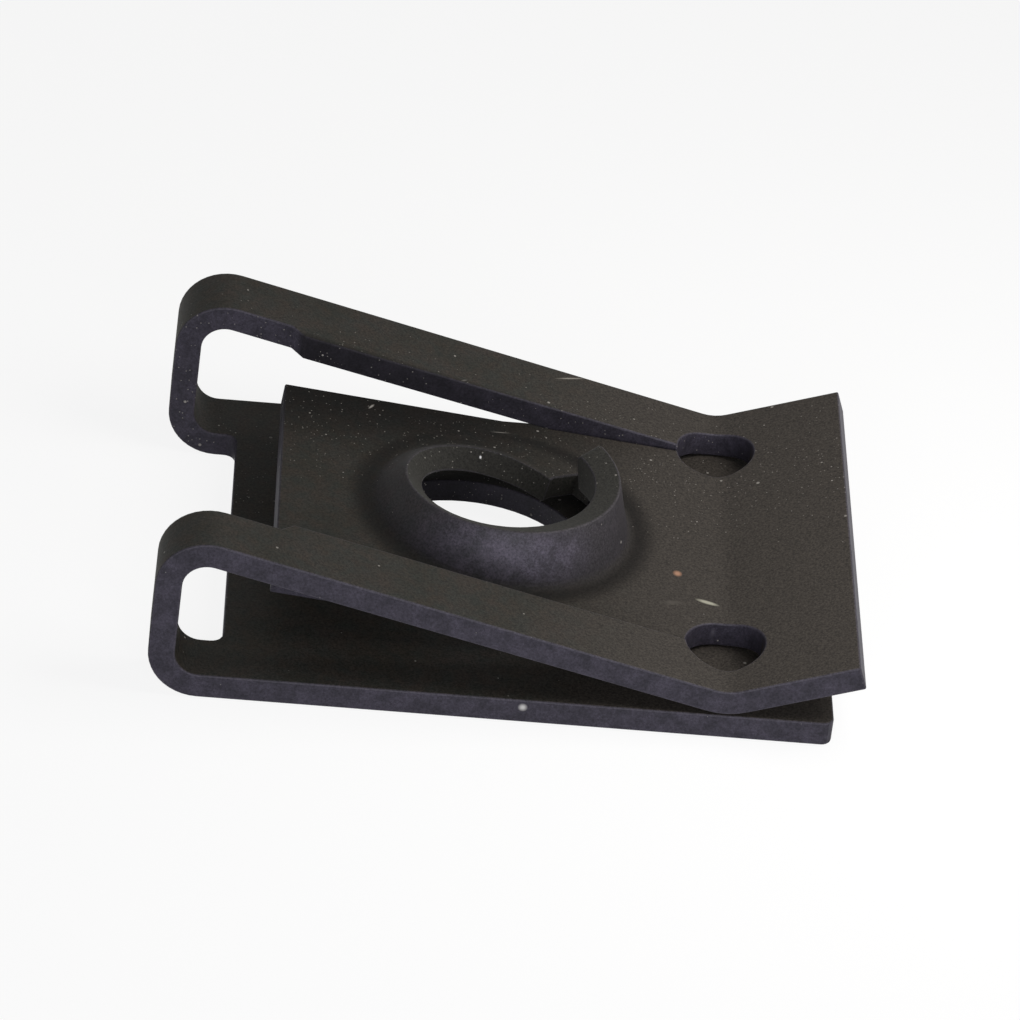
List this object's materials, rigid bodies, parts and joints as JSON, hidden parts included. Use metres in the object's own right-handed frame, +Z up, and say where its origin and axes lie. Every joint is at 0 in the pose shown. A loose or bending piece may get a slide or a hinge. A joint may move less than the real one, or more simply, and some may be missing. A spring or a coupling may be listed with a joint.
{
  "type": "u clip nut",
  "caption": "Folded spring-steel clip that slides over a panel edge and holds a screw in a raised helical collar.",
  "frame": {"origin": "axis of the clearance hole, on the underside of the base leaf", "axes": "+X from the fold towards the open mouth, +Y across the clip, +Z up from the base towards the collar"},
  "size_m": [0.02, 0.0142, 0.0051],
  "materials": {
    "phosphated_spring_steel": "matt black phosphate and oil"
  },
  "bodies": {
    "root": {"spring_clip": "phosphated_spring_steel"}
  },
  "joints": []
}
